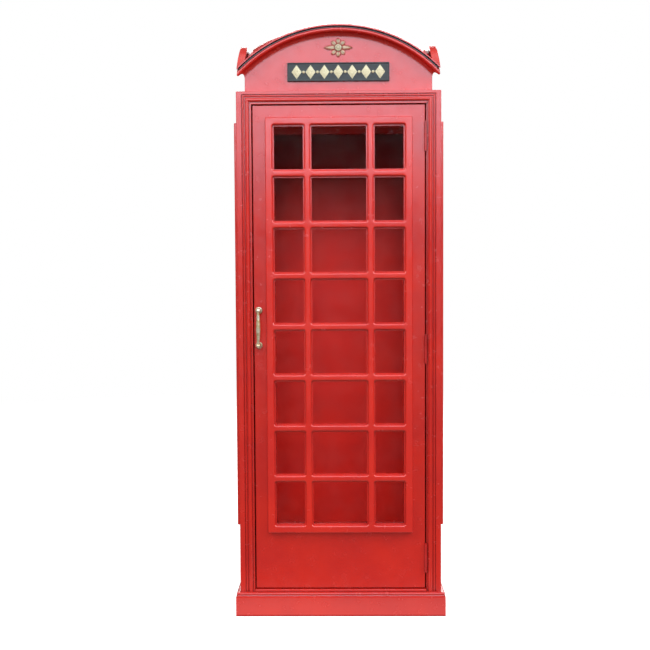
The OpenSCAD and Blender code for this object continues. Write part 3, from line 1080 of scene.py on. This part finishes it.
@dataclass
class Grille:
    """A lattice of moulded bars: each pane has a stepped ledge and a rounded bead."""

    pattern: str = "door_grille"
    ledge: float = 4.5 * MM
    ledge_t: float = 6 * MM
    bead: float = 5.5 * MM
    corner: float = 7 * MM
    rim: float = 3.5 * MM
    steps: int = 5

    def build(self) -> None:
        """Build the door's grille, and turned copies for both side walls."""
        front = self.lattice()
        for side, turn in (("left", -QUARTER), ("right", QUARTER)):
            node = "grille_" + side
            copy = twin(front, "finished_" + node)
            settle(copy, turn=(0, 0, turn))
            low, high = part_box(node)
            mine = [v.co for v in copy.data.vertices]
            edge = max if side == "right" else min
            outer = (high if side == "right" else low)[X]
            settle(copy, at=(outer - edge(p[X] for p in mine), 0, 0))
            dress(copy, GRILLE_RED, Slot.RED, node)
        dress(front, GRILLE_RED, Slot.RED, self.pattern)

    def lines(self, axis: int) -> list[float]:
        """Give the lines along which the CAD lattice has its edges."""
        source = frame["nodes"][self.pattern].data
        return sorted({round(v.co[axis], 5) for v in source.vertices})

    def lattice(self) -> Piece:
        """Build the door's lattice as one closed piece.

        Returns:
            The lattice.
        """
        low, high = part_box(self.pattern)
        across, up = self.lines(X)[1:-1], self.lines(Z)[1:-1]
        columns = list(zip(across[::2], across[1::2]))
        rows = list(zip(up[::2], up[1::2]))
        parts = [self.outer_wall(low, high)]
        samples: dict[float, Piece] = {}
        for left, right in columns:
            width = round(right - left, 5)
            if width not in samples:
                samples[width] = self.reveal(width, rows[0][1] - rows[0][0], low[Y], high[Y])
            for foot, head in rows:
                copy = twin(samples[width], "reveal")
                parts.append(settle(copy, at=((left + right) / 2, 0, (foot + head) / 2)))
        for sample in samples.values():
            bpy.data.objects.remove(sample)
        piece = joined("finished_" + self.pattern, parts)
        with editing(piece):
            for face_y in (low[Y], high[Y]):
                pick(piece, Kind.EDGES, lambda edge, y=face_y: edge.is_boundary and all(
                    abs(v.co[Y] - y) < TOUCH for v in edge.verts))
                bpy.ops.mesh.fill(use_beauty=True)
        face_outwards(piece)
        return smooth(piece, 35)

    def outer_wall(self, low: Vector, high: Vector) -> Piece:
        """Build the lattice's outer wall with its rounded front edge, open at both faces.

        Args:
            low: the lattice's low corner.
            high: the lattice's high corner.

        Returns:
            The open wall.
        """
        middle = (low + high) / 2
        wall = panel("outer_wall", (middle[X], high[Y], middle[Z]),
                     high[X] - low[X], high[Z] - low[Z])
        with editing(wall):
            bpy.ops.mesh.select_all(action="SELECT")
            straight = (0, low[Y] + self.rim - high[Y], 0)
            bpy.ops.mesh.extrude_region_move(TRANSFORM_OT_translate={"value": straight})
            for rise, inward in quarter_round(self.rim, self.steps):
                bpy.ops.mesh.inset(thickness=inward, depth=rise)
            pick(wall, Kind.FACES, lambda face: abs(face.normal[Y]) > 0.99)
            bpy.ops.mesh.delete(type="ONLY_FACE")
        return wall

    def reveal(self, width: float, height: float, front: float, back: float) -> Piece:
        """Build one pane's reveal: a bead, a wall, a ledge and a square opening.

        Args:
            width: the opening's width at the glass.
            height: the opening's height at the glass.
            front: Y of the lattice's front face.
            back: Y of the lattice's back face.

        Returns:
            The open ring, centred on X and Z.
        """
        grown = 2 * (self.ledge + self.bead)
        ring = panel("reveal_sample", (0, front, 0), width + grown, height + grown)
        with editing(ring):
            pick(ring, Kind.VERTS, lambda vert: True)
            bpy.ops.mesh.bevel(offset=self.corner + self.bead, segments=6, profile=0.5,
                               affect="VERTICES", clamp_overlap=False)
            pick(ring, Kind.FACES, lambda face: True)
            for inward, sink in quarter_round(self.bead, self.steps):
                bpy.ops.mesh.inset(thickness=inward, depth=-sink)
            wall = (0, back - self.ledge_t - front - self.bead, 0)
            bpy.ops.mesh.extrude_region_move(TRANSFORM_OT_translate={"value": wall})
            bpy.ops.mesh.inset(thickness=self.ledge, depth=0)
            through = (0, self.ledge_t, 0)
            bpy.ops.mesh.extrude_region_move(TRANSFORM_OT_translate={"value": through})
            bpy.ops.mesh.delete(type="ONLY_FACE")
        return ring


@dataclass
class Glazing:
    """The three sheets of glass, which keep their CAD shape."""

    def build(self) -> None:
        """Give each sheet its finish."""
        for node in ("door_glass", "glass_left", "glass_right"):
            sheet = frame["nodes"][node]
            for slot in sheet.material_slots:
                slot.material = GLASS.material()
            log.info("%s: %s", node, GLASS.name)


@dataclass
class Roof:
    """Four gables, their arch mouldings and the sail dome between them."""

    gable_edge: float = 1.2 * MM
    lip_edge: float = 0.7 * MM
    lip_end: float = 8 * MM
    dome_t: float = 9 * MM
    spare: float = 27 * MM

    def build(self) -> None:
        """Build the roof."""
        sides = ("front", "back", "left", "right")
        gables = ["gable_" + side for side in sides]
        for gable in gables:
            board(gable, self.gable_edge, mates=[mate for mate in gables if mate != gable])
        for side in sides:
            board("arch_" + side, self.lip_edge, ARCH_RED, shortest=self.lip_end)
        self.dome()

    def dome(self) -> None:
        """Build the sail dome: a ball cut by the four gable planes, with an even thickness."""
        low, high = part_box("roof_dome")
        verts = frame["nodes"]["roof_dome"].data.vertices
        half = high[X]
        edge_z = max(v.co[Z] for v in verts if abs(v.co[Y] - low[Y]) < TOUCH)
        sag = high[Z] - edge_z
        radius = (half ** 2 + sag ** 2) / (2 * sag)
        deselect_all()
        bpy.ops.mesh.primitive_uv_sphere_add(segments=192, ring_count=96, radius=radius)
        dome = settle(bpy.context.object, (0, 0, high[Z] - radius))
        dome.name = "finished_roof_dome"
        cuts = [(Vector(place), Vector(outward)) for place, outward in (
            ((half, 0, 0), (1, 0, 0)), ((-half, 0, 0), (-1, 0, 0)),
            ((0, half, 0), (0, 1, 0)), ((0, -half, 0), (0, -1, 0)),
            ((0, 0, low[Z]), (0, 0, -1)))]
        with editing(dome):
            for place, outward in cuts:
                bpy.ops.mesh.select_all(action="SELECT")
                bpy.ops.mesh.bisect(plane_co=place + self.spare * outward, plane_no=outward,
                                    clear_outer=True)
        take_up(dome)
        bpy.ops.object.modifier_add(type="SOLIDIFY")
        wall = dome.modifiers[-1]
        wall.thickness, wall.offset = self.dome_t, -1
        bpy.ops.object.modifier_apply(modifier=wall.name)
        with editing(dome):
            for place, outward in cuts:
                bpy.ops.mesh.select_all(action="SELECT")
                bpy.ops.mesh.bisect(plane_co=place, plane_no=outward, clear_outer=True,
                                    use_fill=True)
        face_outwards(dome)
        dress(smooth(dome, 35, even=False), BOARD_RED, Slot.RED, "roof_dome")


@dataclass
class Sign:
    """The cast sign: a bordered black plate with a gilt pattern of lozenges."""

    border_edge: float = 0.9 * MM
    lozenges: int = 7
    fullness: float = 0.72
    foot: float = 0.8 * MM
    table: float = 0.32

    def build(self) -> None:
        """Build the plate and its relief."""
        board("sign_plate", self.border_edge, SIGN_BLACK, Slot.BLACK)
        low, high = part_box("sign_relief")
        span, rise = high[X] - low[X], high[Z] - low[Z]
        count = self.lozenges
        pitch = span / (count - 1 + self.fullness)
        middle = (low[Z] + high[Z]) / 2
        gem = self.lozenge(self.fullness * pitch, rise, low[Y], high[Y])
        stud = turned("stud", [(0.1 * pitch, 0), (0.1 * pitch, 1.2 * MM), (0.085 * pitch, 2.2 * MM),
                               (0.05 * pitch, 2.8 * MM), (0.015 * pitch, 3 * MM)], 24)
        settle(stud, turn=(QUARTER, 0, 0))
        gems = set_out("gems", gem, [
            ((i - (count - 1) / 2) * pitch, 0, middle) for i in range(count)])
        studs = set_out("studs", stud, [
            ((i - count / 2) * pitch, high[Y], middle) for i in range(1, count)])
        relief = joined("finished_sign_relief", [gems, studs])
        face_outwards(relief)
        dress(smooth(relief, 25), SIGN_GOLD, Slot.GOLD, "sign_relief")

    def lozenge(self, width: float, height: float, front: float, back: float) -> Piece:
        """Build one faceted lozenge on the plate, centred on X and Z.

        Args:
            width: its size along X.
            height: its size along Z.
            front: Y of its table.
            back: Y of the plate's face.

        Returns:
            The lozenge.
        """
        deselect_all()
        bpy.ops.mesh.primitive_circle_add(vertices=4, radius=0.5, fill_type="NGON")
        gem = settle(bpy.context.object, (0, back, 0), (QUARTER, 0, 0), (width, height, 1))
        with editing(gem):
            bpy.ops.mesh.select_all(action="SELECT")
            step = (0, -self.foot, 0)
            bpy.ops.mesh.extrude_region_move(TRANSFORM_OT_translate={"value": step})
            slope = (0, front - back + self.foot, 0)
            bpy.ops.mesh.extrude_region_move(TRANSFORM_OT_translate={"value": slope})
            k = self.table
            bpy.ops.transform.resize(value=(k, 1, k), center_override=(0, front, 0))
            bpy.ops.mesh.inset(thickness=1.2 * MM, depth=-0.5 * MM)
        face_outwards(gem)
        return gem


@dataclass
class Ornament:
    """A generic cast flower with a leaf at each side, over the sign.

    The petal's radius is a share of the ornament's height. The radius of the leaf's two
    arcs, and how far their centres stand off its middle line, are shares of its width.
    """

    petals: int = 8
    petal_share: float = 0.15
    leaf_arc: float = 0.33
    leaf_lift: float = 0.25
    relief: float = 0.7

    def build(self) -> None:
        """Build the flower from one petal and one leaf."""
        low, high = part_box("ornament")
        middle = (low + high) / 2
        back, deep = high[Y], high[Y] - low[Y]
        tall, wide = high[Z] - low[Z], high[X] - low[X]
        petal_r = self.petal_share * tall
        ring_r = tall / 2 - petal_r
        parts = [self.boss(ring_r, deep)]
        petal = self.petal(petal_r, ring_r, self.relief * deep)
        for k in range(self.petals):
            parts.append(settle(twin(petal, "petal_copy"), turn=(0, 0, FULL_TURN * k / self.petals)))
        bpy.data.objects.remove(petal)
        leaf = self.leaf(wide, self.relief * deep)
        other = settle(twin(leaf, "leaf_copy"), turn=(0, 0, math.pi))
        flower = joined("finished_ornament", [*parts, leaf, other])
        settle(flower, (middle[X], back, middle[Z]), (QUARTER, 0, 0))
        face_outwards(flower)
        # Painted shade: near-black rims in the flower's hollows.
        finish = GildedEnamel("gilded_cast_enamel", body="#b8232a", hollow_shade="#2c0809",
                              shade_reach=9 * MM, low=back - 0.3 * deep, high=back - 0.75 * deep)
        dress(smooth(flower, 40, even=False), finish, Slot.CAST, "ornament")

    @staticmethod
    def boss(ring_r: float, deep: float) -> Piece:
        """Build the flat disc behind the petals and the domed boss in their middle.

        Args:
            ring_r: radius of the circle through the petals.
            deep: the ornament's depth.

        Returns:
            The boss, with its axis on Z.
        """
        inner = ring_r / 2
        return turned("boss", [
            (0.98 * ring_r, 0), (0.98 * ring_r, 0.25 * deep), (1.12 * inner, 0.3 * deep),
            (inner, 0.35 * deep), (inner, 0.75 * deep), (0.9 * inner, 0.92 * deep),
            (0.62 * inner, 0.97 * deep), (0.5 * inner, 0.8 * deep), (0.4 * inner, 0.97 * deep),
            (0.2 * inner, deep)])

    @staticmethod
    def petal(radius: float, ring_r: float, deep: float) -> Piece:
        """Build one domed petal, creased along its middle, that points along +X.

        Args:
            radius: half the petal's size.
            ring_r: how far out its middle is.
            deep: how far it stands proud.

        Returns:
            The petal, lying on Z = 0.
        """
        deselect_all()
        bpy.ops.mesh.primitive_uv_sphere_add(segments=32, ring_count=20, radius=1)
        petal = settle(bpy.context.object, (ring_r - 0.15 * radius, 0, 0), (0, 0, 0),
                       (1.15 * radius, 0.88 * radius, deep))
        with editing(petal):
            bpy.ops.mesh.select_all(action="SELECT")
            bpy.ops.mesh.bisect(plane_co=(0, 0, 0), plane_no=(0, 0, 1), use_fill=True,
                                clear_inner=True)
            pick(petal, Kind.VERTS, lambda v: abs(v.co[Y]) < 0.05 * radius
                 and v.co[Z] > 0.4 * deep)
            bpy.ops.transform.translate(value=(0, 0, -0.22 * deep))
        return petal

    def leaf(self, wide: float, deep: float) -> Piece:
        """Build one pointed leaf with a bevelled edge and a raised midrib, along +X.

        Args:
            wide: the ornament's width.
            deep: how far the leaf stands proud.

        Returns:
            The leaf, lying on Z = 0.
        """
        leaf_r, rise = self.leaf_arc * wide, self.leaf_lift * wide
        half = math.sqrt(leaf_r ** 2 - rise ** 2)
        halves = []
        for side in (1, -1):
            deselect_all()
            bpy.ops.mesh.primitive_cylinder_add(vertices=128, radius=leaf_r, depth=deep)
            halves.append(settle(bpy.context.object, (wide / 2 - half, side * rise, deep / 2)))
        leaf = cut(halves[0], halves[1], "INTERSECT")
        centre = wide / 2 - half
        with editing(leaf):
            bpy.ops.mesh.select_all(action="SELECT")
            bpy.ops.mesh.remove_doubles(threshold=0.5 * MM)
            pick(leaf, Kind.FACES, lambda face: face.normal[Z] > 0.9)
            bpy.ops.transform.translate(value=(0, 0, -0.5 * deep))
            for rise_by, narrow in ((0.25 * deep, 0.8), (-0.25 * deep, 0.86), (0.45 * deep, 0.35)):
                step = (0, 0, rise_by)
                bpy.ops.mesh.extrude_region_move(TRANSFORM_OT_translate={"value": step})
                bpy.ops.transform.resize(value=(math.sqrt(narrow), narrow, 1),
                                         center_override=(centre, 0, 0))
        return leaf


@dataclass
class Door:
    """The door's stiles and rails, filled flush at their joints."""

    edge: float = 1.5 * MM
    rebate: float = 15 * MM

    def build(self) -> None:
        """Build the four boards, leaving the small edges of their rebates sharp."""
        boards = ("door_hinge_stile", "door_latch_stile", "door_top_rail", "door_lower_panel")
        for node in boards:
            board(node, self.edge, shortest=self.rebate,
                  mates=[mate for mate in boards if mate != node])


@dataclass
class Handle:
    """The brass pull handle, its round bases and the bolts through the door."""

    rim: float = 1.4 * MM
    steps: int = 4

    def build(self) -> None:
        """Build the handle."""
        board("handle_grip", 0.3 * MM, BRASS, Slot.BRASS, shortest=NO_EDGE, angle=40)
        low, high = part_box("handle_bases")
        radius = (high[X] - low[X]) / 2
        neck, base_t = 5 * MM, 4 * MM
        ring = [(radius, 0), (radius, base_t - self.rim)]
        for along, away in quarter_round(self.rim, self.steps):
            ring.append((ring[-1][0] - away, ring[-1][1] + along))
        inner = ring[-1][0] - 2 * MM
        ring += [(inner, base_t), (inner - 0.5 * MM, base_t - 0.8 * MM),
                 (neck + 1.2 * MM, base_t - 0.8 * MM), (neck, base_t + 1 * MM),
                 (neck, high[Y] - low[Y])]
        base = turned("base_sample", ring)
        settle(base, turn=(QUARTER, 0, 0))
        x = (low[X] + high[X]) / 2
        bases = set_out("finished_handle_bases", base, [
            (x, high[Y], low[Z] + radius), (x, high[Y], high[Z] - radius)])
        dress(smooth(bases, 40, even=False), BRASS, Slot.BRASS, "handle_bases")
        self.bolts()

    def bolts(self) -> None:
        """Build the two slotted bolts from inside the door."""
        low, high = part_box("handle_bolts")
        head_r = (high[X] - low[X]) / 2
        head_t = 3 * MM
        length = high[Y] - low[Y]
        shank = head_r / 2
        bolt = turned("bolt_sample", [
            (0.55 * head_r, 0), (0.85 * head_r, 0.25 * head_t), (head_r, 0.6 * head_t),
            (head_r, head_t), (shank, head_t), (shank, length - 0.5 * MM),
            (shank - 0.5 * MM, length)])
        slot = block("slot", (-head_r - MM, -0.6 * MM, -MM), (head_r + MM, 0.6 * MM, 1.1 * MM))
        cut(bolt, slot)
        settle(bolt, turn=(QUARTER, 0, 0))
        x = (low[X] + high[X]) / 2
        bolts = set_out("finished_handle_bolts", bolt, [
            (x, high[Y], low[Z] + head_r), (x, high[Y], high[Z] - head_r)])
        dress(smooth(bolts, 35, even=False), ZINC, Slot.ZINC, "handle_bolts")


@dataclass
class Hinges:
    """Three butt hinges: leaves, pins and countersunk screws."""

    edge: float = 0.35 * MM
    catch_edge: float = 0.5 * MM

    def build(self) -> None:
        """Build the hinges and the catch."""
        for node in ("hinge_frame_leaves", "hinge_door_leaves"):
            board(node, self.edge, HINGE_RED, Slot.HINGE, shortest=5 * MM)
        board("hinge_pins", self.edge, HINGE_RED, Slot.HINGE, shortest=NO_EDGE)
        for node, facing in (("hinge_frame_screws", -1), ("hinge_door_screws", 1)):
            self.screws(node, facing)
        for node in ("catch_body", "catch_plate"):
            board(node, self.catch_edge, ZINC, Slot.ZINC)

    def screws(self, node: str, facing: int) -> None:
        """Build nine slotted screws from one.

        Args:
            node: the CAD node that they replace.
            facing: 1 where the heads face +X, -1 where they face -X.
        """
        low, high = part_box(node)
        span = high[X] - low[X]
        head_r, shank, head_t = 3 * MM, 1.5 * MM, 0.4 * MM
        screw = turned("screw_sample", [
            (0.2 * MM, 0), (shank, 4 * MM), (shank, span - head_t), (head_r, span - head_t),
            (head_r, span - 0.6 * head_t), (0.8 * head_r, span)], 24)
        slot = block("slot", (-head_r - MM, -0.45 * MM, span - 0.3 * MM),
                     (head_r + MM, 0.45 * MM, span + MM))
        cut(screw, slot)
        settle(screw, turn=(0, facing * QUARTER, 0))
        start = (low if facing > 0 else high)[X]
        y = (low[Y] + high[Y]) / 2
        screws = set_out("finished_" + node, screw, [(start, y, z) for z in self.heights(node)])
        dress(smooth(screws, 35, even=False), ZINC, Slot.ZINC, node)

    @staticmethod
    def heights(node: str) -> list[float]:
        """Give the height of each screw's axis, read from the CAD node.

        Args:
            node: the CAD node that holds the screws.

        Returns:
            The heights, upwards.
        """
        found = sorted(v.co[Z] for v in frame["nodes"][node].data.vertices)
        groups = [[found[0]]]
        for z in found[1:]:
            if z - groups[-1][-1] > 2 * MM:
                groups.append([])
            groups[-1].append(z)
        return [(group[0] + group[-1]) / 2 for group in groups]


@dataclass(frozen=True)
class Lamp:
    """A soft rectangular lamp that the camera doesn't see.

    It hangs at one place and points towards another. Its size is in metres and its
    power in watts. A lamp that isn't mirrored lights a surface without showing in it.
    """

    name: str
    at: tuple[float, float, float]
    towards: tuple[float, float, float]
    width: float
    height: float
    power: float
    tint: tuple[float, float, float] = (1, 1, 1)
    mirrored: bool = True

    def hang(self) -> None:
        """Hang the lamp in the scene."""
        data = bpy.data.lights.new(self.name, "AREA")
        data.color, data.energy = self.tint, self.power
        data.shape, data.size, data.size_y = "RECTANGLE", self.width, self.height
        lamp = bpy.data.objects.new(self.name, data)
        bpy.context.scene.collection.objects.link(lamp)
        lamp.location = self.at
        aim = Vector(self.towards) - Vector(self.at)
        lamp.rotation_euler = aim.to_track_quat("-Z", "Y").to_euler()
        lamp.visible_camera = False
        lamp.visible_glossy = self.mirrored


LAMPS = (
    Lamp("front_box", (0.6, -7.2, 4.9), (0, -0.36, 1.4), 6.4, 5.2, 410, tint=(0.74, 0.95, 1.12)),
    Lamp("overhead_box", (0, -0.5, 5.2), (0, -0.5, 0), 5.0, 5.0, 55),
    Lamp("left_box", (-4.2, -2.2, 4.2), (0, 0, 0.9), 3.0, 3.0, 170),
    Lamp("right_box", (4.2, -2.2, 4.2), (0, 0, 0.9), 3.0, 3.0, 190),
    Lamp("back_box", (0.8, 6.5, 4.0), (0, 0.36, 1.3), 4.0, 3.0, 300),
    Lamp("low_fill", (0.2, -4.6, 0.9), (0, -0.36, 0.9), 3.0, 0.8, 26, mirrored=False),
    Lamp("floor_bounce", (0, -0.476, 0.005), (0, -0.476, 1), 1.6, 0.2, 0.8),
)


@dataclass
class Studio:
    """The plain floor, the white room, the lamps and the camera.

    The camera's stand is in metres, its turns are in degrees, and its lens is in
    millimetres over a sensor 36 mm wide.
    """

    stand: tuple[float, float, float] = (-0.007, -3.658, 1.199)
    pitch: float = 2.70
    yaw: float = 0.77
    roll: float = 0.31
    sensor: float = 36
    lens: float = 51.6185

    def build(self) -> None:
        """Build the studio."""
        self.floor()
        self.camera()
        for lamp in LAMPS:
            lamp.hang()
        self.room()
        bpy.context.scene.view_settings.view_transform = "Standard"

    def floor(self) -> None:
        """Lay a round matt floor under the booth."""
        deselect_all()
        bpy.ops.mesh.primitive_circle_add(vertices=96, radius=8, fill_type="NGON")
        floor = bpy.context.object
        floor.name = "studio_floor"
        floor.data.materials.append(FLOOR.material())
        floor.visible_diffuse = False
        floor.visible_glossy = False

    def camera(self) -> None:
        """Set the camera in front of the booth, at chest height."""
        data = bpy.data.cameras.new("camera")
        data.sensor_width = self.sensor
        data.lens = self.lens
        data.clip_end = 100
        camera = bpy.data.objects.new("camera", data)
        bpy.context.scene.collection.objects.link(camera)
        aim = (Matrix.Rotation(math.radians(self.yaw), 4, "Z")
               @ Matrix.Rotation(QUARTER - math.radians(self.pitch), 4, "X")
               @ Matrix.Rotation(-math.radians(self.roll), 4, "Z"))
        camera.matrix_world = Matrix.Translation(self.stand) @ aim
        bpy.context.scene.camera = camera

    @staticmethod
    def room() -> None:
        """Give the room a white backdrop and a dim, even light."""
        world = bpy.data.worlds.new("white_room")
        world.use_nodes = True
        tree = world.node_tree
        tree.nodes.clear()
        way = add(tree, "ShaderNodeTexCoord").outputs["Generated"]
        up = add(tree, "ShaderNodeSeparateXYZ", {"Vector": way}).outputs[2]
        level = add(tree, "ShaderNodeMapRange", {
            "Value": up, "From Min": -0.2, "From Max": 0.1, "To Min": 0.2, "To Max": 0.14})
        dim = add(tree, "ShaderNodeBackground", {
            "Color": linear("#fff6ee"), "Strength": level.outputs[0]})
        white = add(tree, "ShaderNodeBackground", {"Color": (1, 1, 1, 1), "Strength": 1.0})
        seen = add(tree, "ShaderNodeLightPath").outputs["Is Camera Ray"]
        both = add(tree, "ShaderNodeMixShader", {0: seen, 1: dim.outputs[0], 2: white.outputs[0]})
        add(tree, "ShaderNodeOutputWorld", {"Surface": both.outputs[0]})
        bpy.context.scene.world = world


def main() -> None:
    """Build the booth, piece by piece, and then the studio around it."""
    for assembly in (Base(), Carcass(), Casing(), Grille(), Glazing(), Roof(), Sign(),
                     Ornament(), Door(), Handle(), Hinges(), Studio()):
        log.info("-- %s", type(assembly).__name__)
        assembly.build()


if __name__ == "__main__":
    main()
